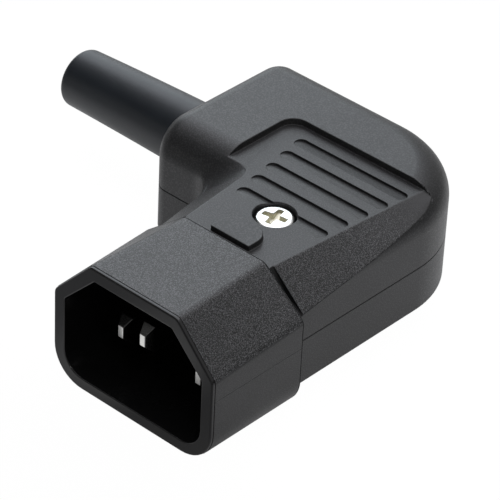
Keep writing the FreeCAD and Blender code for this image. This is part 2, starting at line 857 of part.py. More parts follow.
def hexagon(width, y):
    """Corners of a hexagon about (0, y) with two flats across Y."""
    apothem = width / 2
    side = width / math.sqrt(3)
    return [
        (side, y),
        (side / 2, y + apothem),
        (-side / 2, y + apothem),
        (-side, y),
        (-side / 2, y - apothem),
        (side / 2, y - apothem),
    ]


# Screw and nut that close the shells

def make_housing_screw():
    """The screw in the panel's recess, which holds the shells together."""
    body = new_body("housing_screw")
    profile = sketch_on(body, "XZ_Plane", ZERO, "housing_screw_profile")
    shank = size("fastener_diameter") / 2
    head = size("fastener_head_diameter") / 2
    height = size("fastener_head_height")
    bevel = size("fastener_head_bevel")
    draw_outline(profile, [
        (0, -size("fastener_length")),
        (shank, -size("fastener_length")),
        (shank, 0),
        (head, 0),
        (head, height - bevel),
        (head - bevel, height),
        (0, height),
    ])
    revolve(body, profile, "Z_Axis")
    place(body, 0, fastener_y, size("panel_level") - size("recess_depth"))
    return body


def make_housing_nut():
    """The captive nut in the base."""
    body = new_body("housing_nut")
    outline = sketch_on(body, "XY_Plane", ZERO, "nut_outline")
    draw_outline(outline, hexagon(size("nut_width"), ZERO))
    pad(body, outline, size("nut_thickness"))
    bore = sketch_on(body, "XY_Plane", size("nut_thickness"), "nut_bore")
    draw_circle(bore, 0, 0, size("fastener_diameter") + size("thread_clearance") * 2)
    pocket(body, bore, size("nut_thickness") + OVERCUT)
    place(body, 0, fastener_y, cover_bottom - size("nut_thickness") - size("seat_clearance"))
    return body


# Cable boot and cord grip

def make_boot():
    """The tapered cable boot with the collar that the shells hold."""
    body = new_body("boot")
    profile = sketch_on(body, "XY_Plane", ZERO, "boot_profile")
    root = size("boot_root_diameter") / 2
    tip = size("boot_tip_diameter") / 2
    bore = size("boot_bore") / 2
    collar = size("boot_flange_diameter") / 2
    seat = size("side_wall") + size("seat_clearance")
    draw_outline(profile, [
        (-size("boot_length"), bore),
        (seat + size("boot_flange_thickness"), bore),
        (seat + size("boot_flange_thickness"), collar),
        (seat, collar),
        (seat, root),
        (0, root),
        (size("boot_tip_bevel") - size("boot_length"), tip),
        (-size("boot_length"), tip - size("boot_tip_bevel")),
    ])
    revolve(body, profile, "X_Axis")
    place(body, arm_face, boot_y, parting)
    return body


def make_cord_grip():
    """The bar that presses the cord down, with a screw at each end."""
    body = new_body("cord_grip")
    bar = sketch_on(body, "YZ_Plane", -size("grip_width") / 2, "grip_outline")
    draw_outline(bar, rectangle(-grip_half, grip_half, ZERO, size("grip_height")))
    pad(body, bar, size("grip_width"))
    groove = sketch_on(body, "YZ_Plane", -size("grip_width") / 2, "grip_saddle")
    draw_circle(groove, 0, 0, size("grip_groove"))
    pocket(body, groove, size("grip_width") + OVERCUT, reverse=True)
    holes = sketch_on(body, "XY_Plane", size("grip_height"), "grip_holes")
    for side in (-1, 1):
        draw_circle(holes, 0, side * grip_spread,
                    size("grip_screw_diameter") + size("seat_clearance") * 2)
    pocket(body, holes, size("grip_height") + OVERCUT)
    place(body, -size("grip_place"), boot_y, parting)
    return body


# The whole plug

live, neutral, earth = terminal_places()
pieces = [make_shroud(), make_cover(), make_base()]
for word, (x, z, head_room), depth in (
    ("live", live, size("power_tip_depth")),
    ("neutral", neutral, size("power_tip_depth")),
    ("earth", earth, size("earth_tip_depth")),
):
    pieces.append(make_pin(f"{word}_pin", x, z, depth))
    pieces.append(make_washer(f"{word}_washer", x, z))
    pieces.append(make_slotted_screw(
        f"{word}_screw", "terminal", size("terminal_height"),
        x, flange_front + size("terminal_length") / 2, terminal_top(z) + size("washer_thickness")))
pieces.append(make_housing_screw())
pieces.append(make_housing_nut())
pieces.append(make_boot())
pieces.append(make_cord_grip())
for word, side in (("front", -1), ("rear", 1)):
    pieces.append(make_slotted_screw(
        f"{word}_grip_screw", "grip", size("grip_screw_length"),
        -size("grip_place"), boot_y + side * grip_spread, parting + size("grip_height")))

doc.recompute()
for item in doc.Objects:
    if "Invalid" in item.State or "Error" in item.State:
        raise RuntimeError(f"{item.Label} did not build: {item.State}")
for piece in pieces:
    if piece.Shape.isNull() or not piece.Shape.isValid() or len(piece.Shape.Solids) != 1:
        raise RuntimeError(f"{piece.Label} is not one valid solid")

os.makedirs("parts", exist_ok=True)
for piece in pieces:
    piece.Shape.exportStep(f"parts/{piece.Label}.step")
    print(piece.Label, round(piece.Shape.Volume, 2))
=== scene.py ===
"""Looks of a black right-angle rewireable appliance plug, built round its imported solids.

The shroud, boot and closing screw are numpy surfaces; the shroud's hidden neck is cut from a copy of its
solid. The two shells and the blades are merged copies of their solids with softened edges. Lengths are in
millimetres until a mesh is made.
"""
import logging
import math
from abc import ABC, abstractmethod
from dataclasses import dataclass, field
from enum import Enum
from typing import Any, Callable, Sequence

import bmesh
import bpy
import numpy as np
from mathutils import Matrix, Vector


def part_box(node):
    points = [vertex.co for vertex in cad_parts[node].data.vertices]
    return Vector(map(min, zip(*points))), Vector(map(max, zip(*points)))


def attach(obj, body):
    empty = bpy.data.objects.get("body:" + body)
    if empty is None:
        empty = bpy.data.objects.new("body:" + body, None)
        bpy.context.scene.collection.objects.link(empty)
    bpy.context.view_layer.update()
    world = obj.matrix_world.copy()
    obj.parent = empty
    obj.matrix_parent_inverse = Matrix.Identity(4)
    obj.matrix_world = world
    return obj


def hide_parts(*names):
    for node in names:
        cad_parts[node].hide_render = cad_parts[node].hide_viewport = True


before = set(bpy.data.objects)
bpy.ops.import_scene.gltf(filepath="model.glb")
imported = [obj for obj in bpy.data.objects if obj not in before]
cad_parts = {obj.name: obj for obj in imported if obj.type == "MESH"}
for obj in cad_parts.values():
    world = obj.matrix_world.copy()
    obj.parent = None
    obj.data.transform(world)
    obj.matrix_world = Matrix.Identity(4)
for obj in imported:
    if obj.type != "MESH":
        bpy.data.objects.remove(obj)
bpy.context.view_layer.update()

LOG = logging.getLogger("plug")

Array = np.ndarray
Material = bpy.types.Material
Object = bpy.types.Object
Corner = tuple[float, float, float]
Spot = tuple[float, float, float]
Tint = tuple[float, float, float]
Span = tuple[float, float]
Colour = tuple[float, float, float, float]

MM = 0.001
PLASTIC_IOR = 1.5
NOISE_MIDDLE = 0.5
GREEN_WARMTH = 0.15  # share of a colour's warmth that green loses
ARC_STEPS = 10  # parts of an outline's arc
SIDE_STEPS = 8  # parts of an outline's side
LEAST_ROUND = 0.05
MERGE_REACH = 1e-7  # metres between points that are one
FLAT_ANGLE = 0.05  # degrees up to which neighbouring triangles are one flat face
HARD_ANGLE = 24.0  # degrees above which an edge is softened
BEVEL_PARTS = 3
NORMAL_WEIGHT = 100
NORMAL_REACH = 0.01


class Slot(Enum):
    """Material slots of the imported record."""

    SHELL = "shell"
    BOOT = "boot"
    PLATING = "plating"
    STEEL = "steel"


class Value:
    """A value socket of a shader; arithmetic on it adds Math nodes."""

    def __init__(self, graph: "Graph", socket: bpy.types.NodeSocket) -> None:
        """Wraps a socket.

        Args:
            graph: The graph that it belongs to.
            socket: The socket.
        """
        self.graph = graph
        self.socket = socket

    def _math(self, operation: str, first: Any, second: Any = 0.0) -> "Value":
        """A Math node.

        Args:
            operation: Blender's name of the operation.
            first: Number or value.
            second: Number or value.

        Returns:
            The result.
        """
        return self.graph.add("ShaderNodeMath", {"operation": operation}, {0: first, 1: second})

    def __add__(self, other: Any) -> "Value":
        """Sum."""
        return self._math("ADD", self, other)

    __radd__ = __add__

    def __sub__(self, other: Any) -> "Value":
        """Difference."""
        return self._math("SUBTRACT", self, other)

    def __rsub__(self, other: Any) -> "Value":
        """Difference from a number."""
        return self._math("SUBTRACT", other, self)

    def __mul__(self, other: Any) -> "Value":
        """Product."""
        return self._math("MULTIPLY", self, other)

    __rmul__ = __mul__

    def __abs__(self) -> "Value":
        """Size without sign."""
        return self._math("ABSOLUTE", self)

    def band(self, low: float, high: float) -> "Value":
        """Runs smoothly from 0 at the low value to 1 at the high one.

        Args:
            low: Value that gives 0.
            high: Value that gives 1.

        Returns:
            The smooth step.
        """
        inputs = {"Value": self, "From Min": low, "From Max": high}
        return self.graph.add("ShaderNodeMapRange", {"interpolation_type": "SMOOTHSTEP"}, inputs)


class Graph:
    """The node tree of one material or of the world."""

    MIX_SHARE, MIX_FIRST, MIX_SECOND, MIX_RESULT = 0, 6, 7, 2

    def __init__(self, tree: bpy.types.NodeTree) -> None:
        """Empties the tree.

        Args:
            tree: Node tree to write.
        """
        self.tree = tree
        tree.nodes.clear()

    def add(self, kind: str, settings: dict[str, Any] | None = None,
            inputs: dict[Any, Any] | None = None, output: Any = 0) -> Value:
        """Adds one node.

        Args:
            kind: Blender's name of the node type.
            settings: Properties that are set first.
            inputs: Values or links of the sockets, by name or number.
            output: Name or number of the socket to hand back.

        Returns:
            The chosen output.
        """
        node = self.tree.nodes.new(kind)
        for key, setting in (settings or {}).items():
            setattr(node, key, setting)
        for key, entry in (inputs or {}).items():
            if isinstance(entry, Value):
                self.tree.links.new(entry.socket, node.inputs[key])
            else:
                node.inputs[key].default_value = entry
        return Value(self, node.outputs[output] if len(node.outputs) else node.inputs[0])

    def place(self) -> Value:
        """The shaded point.

        Returns:
            Its Object coordinates in metres.
        """
        return self.add("ShaderNodeTexCoord", output="Object")

    def coordinate(self, axis: str) -> Value:
        """One of the Object coordinates.

        Args:
            axis: X, Y or Z.

        Returns:
            The coordinate in metres.
        """
        return self.add("ShaderNodeSeparateXYZ", {}, {0: self.place()}, axis)

    def distance(self, spot: Spot) -> Value:
        """Distance of the shaded point from another.

        Args:
            spot: The other point, in millimetres.

        Returns:
            The distance in metres.
        """
        inputs = {0: self.place(), 1: tuple(part * MM for part in spot)}
        return self.add("ShaderNodeVectorMath", {"operation": "DISTANCE"}, inputs, "Value")

    def dot(self, direction: Value, way: Spot) -> Value:
        """How far a direction runs along a given way.

        Args:
            direction: The direction.
            way: The way.

        Returns:
            Their dot product.
        """
        inputs = {0: direction, 1: way}
        return self.add("ShaderNodeVectorMath", {"operation": "DOT_PRODUCT"}, inputs, "Value")

    def ray(self, kind: str) -> Value:
        """Tells one kind of ray from the others.

        Args:
            kind: Camera, Glossy or Transmission.

        Returns:
            1 for a ray of that kind, else 0.
        """
        return self.add("ShaderNodeLightPath", output=f"Is {kind} Ray")

    def noise(self, grain: float, detail: float) -> Value:
        """Noise whose lumps have about the given size.

        Args:
            grain: Size of a lump in millimetres.
            detail: Octaves.

        Returns:
            Noise from 0 to 1.
        """
        inputs = {"Vector": self.place(), "Scale": 1.0 / (grain * MM), "Detail": detail}
        return self.add("ShaderNodeTexNoise", {}, inputs)

    def mix(self, share: Value, first: Any, second: Any) -> Value:
        """Mixes two colours.

        Args:
            share: 0 for the first, 1 for the second.
            first: Colour or link.
            second: Colour or link.

        Returns:
            The mixed colour.
        """
        inputs = {self.MIX_SHARE: share, self.MIX_FIRST: first, self.MIX_SECOND: second}
        return self.add("ShaderNodeMix", {"data_type": "RGBA"}, inputs, self.MIX_RESULT)

    def bump(self, height: Value, depth: float, under: Value | None = None) -> Value:
        """Turns a height from 0 to 1 into a normal.

        Args:
            height: The relief.
            depth: Its depth in millimetres.
            under: Normal that it lies on.

        Returns:
            The normal.
        """
        inputs: dict[Any, Any] = {"Height": height, "Distance": depth * MM}
        if under is not None:
            inputs["Normal"] = under
        return self.add("ShaderNodeBump", {}, inputs)

    def surface(self, shader: Value) -> None:
        """Ends the tree in its output.

        Args:
            shader: What the surface shows.
        """
        self.add("ShaderNodeOutputMaterial", {}, {"Surface": shader})


def grey(level: float, warmth: float = 0.0) -> Colour:
    """A near-grey colour.

    Args:
        level: Linear level.
        warmth: Share that blue loses; below 0 it gains it.

    Returns:
        Red, green, blue and alpha.
    """
    return (level, level * (1.0 - GREEN_WARMTH * warmth), level * (1.0 - warmth), 1.0)


def new_material(name: str) -> Material:
    """An empty node material.

    Args:
        name: Its name.

    Returns:
        The material.
    """
    made = bpy.data.materials.new(name)
    made.use_nodes = True
    return made


@dataclass(frozen=True)
class Finish(ABC):
    """A finish of the plug. Each kind of finish says what feeds its shader."""

    name: str

    @abstractmethod
    def inputs(self, graph: Graph) -> dict[str, Any]:
        """Adds the nodes that feed the shader.

        Args:
            graph: The material's graph.

        Returns:
            The shader's inputs, by name.
        """

    def material(self) -> Material:
        """Builds the shader.

        Returns:
            The material.
        """
        made = new_material(self.name)
        graph = Graph(made.node_tree)
        graph.surface(graph.add("ShaderNodeBsdfPrincipled", {}, self.inputs(graph)))
        return made


@dataclass(frozen=True)
class MouldedPlastic(Finish):
    """Black moulded nylon. Its skin is flecked, and coarser where the tool was spark-eroded; bright flecks
    are painted glints.

    The fade is the stretch along Y over which the grain wears off. The seam is a moulding line at its level.
    """

    dark: float
    light: float
    roughness: float = 0.42
    grain: float = 0.14
    depth: float = 0.008
    seam_level: float | None = None
    fade: Span | None = None
    tint: float = -0.04
    cloud_size: float = 6.0
    fleck_band: Span = (0.44, 0.7)
    mean_fleck: float = 0.3
    worn_flecks: float = 0.06
    worn_relief: float = 0.7
    ripple_size: float = 0.5
    ripple_depth: float = 0.006
    rough_by_cloud: float = 0.06
    rough_by_fleck: float = 0.08
    seam_half: Span = (0.02, 0.09)
    seam_shade: float = 0.4
    seam_depth: float = 0.03

    def inputs(self, graph: Graph) -> dict[str, Any]:
        """Adds the nodes that feed the shader.

        The roughness is the plastic's own, with more in the clouds and less on the flecks.

        Args:
            graph: The material's graph.

        Returns:
            The shader's inputs, by name.
        """
        cloud = graph.noise(self.cloud_size, detail=3.0)
        lumps = graph.noise(self.grain, detail=1.0)
        flecks_and_painted_glints = lumps.band(*self.fleck_band)
        if self.fade is not None:
            worn = graph.coordinate("Y").band(self.fade[0] * MM, self.fade[1] * MM)
            flecks_and_painted_glints = flecks_and_painted_glints * (1.0 - worn) + worn * self.worn_flecks
            lumps = lumps * (1.0 - worn * self.worn_relief)
        ripple = graph.bump(graph.noise(self.ripple_size, detail=2.0), self.ripple_depth)
        skin = graph.bump(lumps, self.depth, ripple)
        # The flecks' lighter colour is painted glint where it is bright, and a faint random tone where it is
        # dim.
        colour = graph.mix(flecks_and_painted_glints, grey(self.dark, self.tint), grey(self.light, self.tint))
        patchy = (cloud - NOISE_MIDDLE) * self.rough_by_cloud
        rough = patchy - (flecks_and_painted_glints - self.mean_fleck) * self.rough_by_fleck + self.roughness
        if self.seam_level is not None:
            away = abs(graph.coordinate("Z") - self.seam_level * MM)
            off_seam = away.band(self.seam_half[0] * MM, self.seam_half[1] * MM)
            colour = graph.mix(off_seam, grey(self.dark * self.seam_shade), colour)
            skin = graph.bump(off_seam, self.seam_depth, skin)
        return {"Base Color": colour, "Roughness": rough, "Normal": skin, "IOR": PLASTIC_IOR}


@dataclass(frozen=True)
class BootRubber(Finish):
    """Soft black vinyl of the cable boot, a little bluer than the shells and with a finer skin."""

    name: str = "boot_vinyl"
    dark: Colour = (0.007, 0.01, 0.014, 1.0)
    light: Colour = (0.011, 0.015, 0.02, 1.0)
    roughness: float = 0.42
    rough_by_cloud: float = 0.08
    cloud_size: float = 5.0
    skin_size: float = 0.12
    skin_depth: float = 0.003
    ripple_size: float = 2.2
    ripple_depth: float = 0.02

    def inputs(self, graph: Graph) -> dict[str, Any]:
        """Adds the nodes that feed the shader.

        Args:
            graph: The material's graph.

        Returns:
            The shader's inputs, by name.
        """
        cloud = graph.noise(self.cloud_size, detail=3.0)
        fine = graph.noise(self.skin_size, detail=2.0)
        ripple = graph.bump(graph.noise(self.ripple_size, detail=1.0), self.ripple_depth)
        skin = graph.bump(fine, self.skin_depth, ripple)
        colour = graph.mix(cloud, self.dark, self.light)
        rough = (cloud - NOISE_MIDDLE) * self.rough_by_cloud + self.roughness
        return {"Base Color": colour, "Roughness": rough, "Normal": skin, "IOR": PLASTIC_IOR}


@dataclass(frozen=True)
class PlatedMetal(Finish):
    """Plated or bare metal with fine drawing marks."""

    level: float
    warmth: float = 0.03
    roughness: float = 0.22
    rough_by_mark: float = 0.12
    dull_share: float = 0.86
    cloud_size: float = 1.4
    mark_size: float = 0.1
    mark_depth: float = 0.002

    def inputs(self, graph: Graph) -> dict[str, Any]:
        """Adds the nodes that feed the shader.

        Args:
            graph: The material's graph.

        Returns:
            The shader's inputs, by name.
        """
        cloud = graph.noise(self.cloud_size, detail=3.0)
        marks = graph.noise(self.mark_size, detail=3.0)
        dull = grey(self.level * self.dull_share, self.warmth)
        colour = graph.mix(cloud, dull, grey(self.level, self.warmth))
        rough = (marks - NOISE_MIDDLE) * self.rough_by_mark + self.roughness
        skin = graph.bump(marks, self.mark_depth)
        return {"Base Color": colour, "Roughness": rough, "Metallic": 1.0, "Normal": skin}


def holds(finish: Finish) -> Any:
    """A field for the material of a finish.

    Args:
        finish: The finish.

    Returns:
        The field, whose material is built with its object.
    """
    return field(default_factory=finish.material)


@dataclass(frozen=True)
class Finishes:
    """The plug's materials, made once."""

    satin: Material = holds(MouldedPlastic("shell_satin", dark=0.011, light=0.035, grain=0.19))
    # The bright flecks of the grained and roof finishes are painted glints.
    grained: Material = holds(MouldedPlastic("shell_spark_grain", dark=0.002, light=0.13, roughness=0.4,
                                             grain=0.13, depth=0.07, fade=(33.0, 46.0)))
    roof: Material = holds(MouldedPlastic("shroud_roof", dark=0.004, light=0.09, roughness=0.4,
                                          grain=0.155, depth=0.052))
    sides: Material = holds(MouldedPlastic("shroud_sides", dark=0.01, light=0.036, depth=0.012,
                                           seam_level=0.7))
    smooth: Material = holds(MouldedPlastic("rim_smooth", dark=0.006, light=0.01, roughness=0.24,
                                            depth=0.003))
    # Painted shade: a near-black sheet for the gap where the cover meets the shroud.
    painted_gap_shade: Material = holds(MouldedPlastic("gap_painted_shade", dark=0.001, light=0.003, roughness=0.85))
    vinyl: Material = holds(BootRubber())
    nickel: Material = holds(PlatedMetal("nickel", level=0.82, warmth=0.02))
    # Painted shade and highlight: the blades are dark where shade falls in the shroud, their tips bright.
    blade: Material = holds(PlatedMetal("blade_nickel_painted_shade", level=0.2, roughness=0.28))
    tip: Material = holds(PlatedMetal("tip_nickel_painted_highlight", level=0.95, roughness=0.3))
    worn: Material = holds(PlatedMetal("recess_nickel", level=0.74, warmth=0.2, roughness=0.45))
    steel: Material = holds(PlatedMetal("zinc_steel", level=0.5, roughness=0.32))


def unit(vectors: Array) -> Array:
    """Scales vectors to a length of 1.

    Args:
        vectors: (n, 2).

    Returns:
        The unit vectors.
    """
    return vectors / np.linalg.norm(vectors, axis=1)[:, None]


@dataclass(frozen=True)
class CornerFrame:
    """The corners of a closed outline, with unit vectors along their sides and between these."""

    spots: Array
    back: Array
    ahead: Array
    inward: Array
    half: Array

    @classmethod
    def of(cls, corners: Sequence[Corner]) -> "CornerFrame":
        """Works out the vectors, and half the angle between each corner's sides.

        Args:
            corners: (x, z, radius) of each corner, in order round the outline.

        Returns:
            The frame.
        """
        spots = np.array([corner[:2] for corner in corners], float)
        back = unit(np.roll(spots, 1, 0) - spots)
        ahead = unit(np.roll(spots, -1, 0) - spots)
        half = np.arccos(np.clip((back * ahead).sum(1), -1, 1)) / 2
        return cls(spots, back, ahead, unit(back + ahead), half)


def rounded_outline(corners: Sequence[Corner]) -> Array:
    """A closed outline: each corner an arc tangent to its two sides, each side divided evenly.

    An arc's middle lies inwards of its corner by the radius over the sine of the half angle. The arc turns by
    half a turn less the whole angle.

    Args:
        corners: (x, z, radius) of each corner, in order round the outline.

    Returns:
        Points (n, 2), the arc of the first corner first.
    """
    at = CornerFrame.of(corners)
    radii = np.array([corner[2] for corner in corners], float)
    middle = at.spots + at.inward * (radii / np.sin(at.half))[:, None]
    start = at.spots + at.back * (radii / np.tan(at.half))[:, None] - middle
    way = -np.sign(at.back[:, 0] * at.ahead[:, 1] - at.back[:, 1] * at.ahead[:, 0])
    turn = (np.pi - 2 * at.half) * way
    angle = np.linspace(0, 1, ARC_STEPS + 1)[None, :] * turn[:, None]
    arc_x = start[:, 0:1] * np.cos(angle) - start[:, 1:2] * np.sin(angle) + middle[:, 0:1]
    arc_z = start[:, 0:1] * np.sin(angle) + start[:, 1:2] * np.cos(angle) + middle[:, 1:2]
    arcs = np.stack([arc_x, arc_z], -1)
    share = np.arange(1, SIDE_STEPS)[None, :, None] / SIDE_STEPS
    sides = arcs[:, -1:, :] * (1 - share) + np.roll(arcs, -1, 0)[:, :1, :] * share
    return np.concatenate([arcs, sides], 1).reshape(-1, 2)


def six_corners(half: float, rise: float, drop: float, chamfer: Span, rounds: Span) -> list[Corner]:
    """The corners of a box outline whose two upper corners are cut off.

    Args:
        half: Half its width.
        rise: Its top above the middle.
        drop: Its bottom below the middle.
        chamfer: Width and height of the cuts.
        rounds: Radius of the four upper corners, and of the two lower ones.

    Returns:
        (x, z, radius), counter-clockwise.
    """
    wide, tall = chamfer
    upper, lower = rounds
    return [
        (-half, -drop, lower),
        (half, -drop, lower),
        (half, rise - tall, upper),
        (half - wide, rise, upper),
        (wide - half, rise, upper),
        (-half, rise - tall, upper),
    ]


def inset_corners(corners: Sequence[Corner], depth: float) -> list[Corner]:
    """The corners of a convex outline whose sides all move inwards by the depth.

    Args:
        corners: (x, z, radius), counter-clockwise.
        depth: How far the sides move; negative moves them out.

    Returns:
        The moved corners; their arcs keep their centres.
    """
    at = CornerFrame.of(corners)
    moved = at.spots + at.inward * (depth / np.sin(at.half))[:, None]
    return [(x, z, max(corner[2] - depth, LEAST_ROUND)) for (x, z), corner in zip(moved, corners)]


def link(name: str, data: bpy.types.ID) -> Object:
    """Puts an object into the scene.

    Args:
        name: Its name.
        data: Its mesh, lamp or camera.

    Returns:
        The object.
    """
    made = bpy.data.objects.new(name, data)
    bpy.context.scene.collection.objects.link(made)
    return made


def shade(mesh: bpy.types.Mesh, sharp: float | None = None) -> None:
    """Shades a mesh smoothly.

    Args:
        mesh: The mesh.
        sharp: Angle in degrees above which an edge is shaded hard, if any is.
    """
    mesh.polygons.foreach_set("use_smooth", np.ones(len(mesh.polygons), bool))
    if sharp is not None:
        mesh.set_sharp_from_angle(angle=math.radians(sharp))


def grid_piece(name: str, points: Array, ring: bool, caps: tuple[bool, bool], sharp: float = 32.0) -> Object:
    """A piece from a grid of points: quads between neighbours, and its end rows closed if asked for.

    Args:
        name: Name of the piece.
        points: (rows, columns, 3) in millimetres.
        ring: Whether the last column joins the first.
        caps: Whether the first and the last row are closed by a face.
        sharp: Angle in degrees above which an edge is shaded hard.

    Returns:
        The piece, with its doubles merged and its faces outwards.
    """
    rows, columns = points.shape[:2]
    index = np.arange(rows * columns).reshape(rows, columns)
    beside = np.roll(index, -1, 1) if ring else index[:, 1:]
    here = index if ring else index[:, :-1]
    quads = np.stack([here[:-1], beside[:-1], beside[1:], here[1:]], -1).reshape(-1, 4)
    faces = quads.tolist()
    if caps[0]:
        faces.append(index[0][::-1].tolist())
    if caps[1]:
        faces.append(index[-1].tolist())
    mesh = bpy.data.meshes.new(name)
    mesh.from_pydata((points.reshape(-1, 3) * MM).tolist(), [], faces)
    work = bmesh.new()
    work.from_mesh(mesh)
    bmesh.ops.remove_doubles(work, verts=work.verts, dist=MERGE_REACH)
    bmesh.ops.recalc_face_normals(work, faces=work.faces)
    work.to_mesh(mesh)
    work.free()
    shade(mesh, sharp)
    return link(name, mesh)


def dress(piece: Object, slot: Slot, materials: Sequence[Material], *nodes: str) -> None:
    """Gives a piece its materials and its place in the plug.

    Args:
        piece: The piece.
        slot: Slot of the record; not used.
        materials: Its material slots, in order.
        nodes: Solids that it stands for.
    """
    for material in materials:
        piece.data.materials.append(material)
    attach(piece, "root")
    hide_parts(*nodes)
    LOG.info("%s: %d faces", piece.name, len(piece.data.polygons))


def paint(piece: Object, choose: Callable[[Array, Array], Array]) -> None:
    """Sets each face's material slot.

    Args:
        piece: The piece.
        choose: Gives the slot numbers from the faces' centres in millimetres and normals.
    """
    count = len(piece.data.polygons)
    centres = np.empty(count * 3)
    normals = np.empty(count * 3)
    piece.data.polygons.foreach_get("center", centres)
    piece.data.polygons.foreach_get("normal", normals)
    chosen = choose(centres.reshape(-1, 3) / MM, normals.reshape(-1, 3))
    piece.data.polygons.foreach_set("material_index", chosen.astype(np.int32))


def merged_copy(node: str) -> bmesh.types.BMesh:
    """A solid's triangles with their doubles merged.

    Args:
        node: The solid's node.

    Returns:
        The copy, to be freed after use.
    """
    work = bmesh.new()
    work.from_mesh(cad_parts[node].data)
    bmesh.ops.remove_doubles(work, verts=work.verts, dist=MERGE_REACH)
    return work


def softened_copy(node: str, name: str, widths: Callable[[Array], Array]) -> Object:
    """A merged copy of a solid, its flat faces whole and its hard edges rounded by a bevel.

    Args:
        node: The solid's node.
        name: Name of the piece.
        widths: Gives the bevel's width at each edge from the edges' middle points, in millimetres.

    Returns:
        The piece.
    """
    work = merged_copy(node)
    flat = math.radians(FLAT_ANGLE)
    bmesh.ops.dissolve_limit(work, angle_limit=flat, verts=work.verts, edges=work.edges)
    mesh = bpy.data.meshes.new(name)
    work.to_mesh(mesh)
    hard = np.array([edge.calc_face_angle(0.0) > math.radians(HARD_ANGLE) for edge in work.edges])
    middles = np.array([(edge.verts[0].co + edge.verts[1].co) / 2 for edge in work.edges]) / MM
    work.free()
    reach = np.where(hard, widths(middles), 0.0)
    weights = mesh.attributes.new("bevel_weight_edge", "FLOAT", "EDGE")
    weights.data.foreach_set("value", (reach / reach.max()).astype(np.float32))
    shade(mesh)
    piece = link(name, mesh)
    bevel = piece.modifiers.new("soft_edges", "BEVEL")
    bevel.width = reach.max() * MM
    bevel.segments = BEVEL_PARTS
    bevel.limit_method = "WEIGHT"
    bevel.use_clamp_overlap = False
    bevel.loop_slide = False
    weighted = piece.modifiers.new("flat_faces", "WEIGHTED_NORMAL")
    weighted.mode = "FACE_AREA"
    weighted.weight = NORMAL_WEIGHT
    weighted.thresh = NORMAL_REACH
    return piece


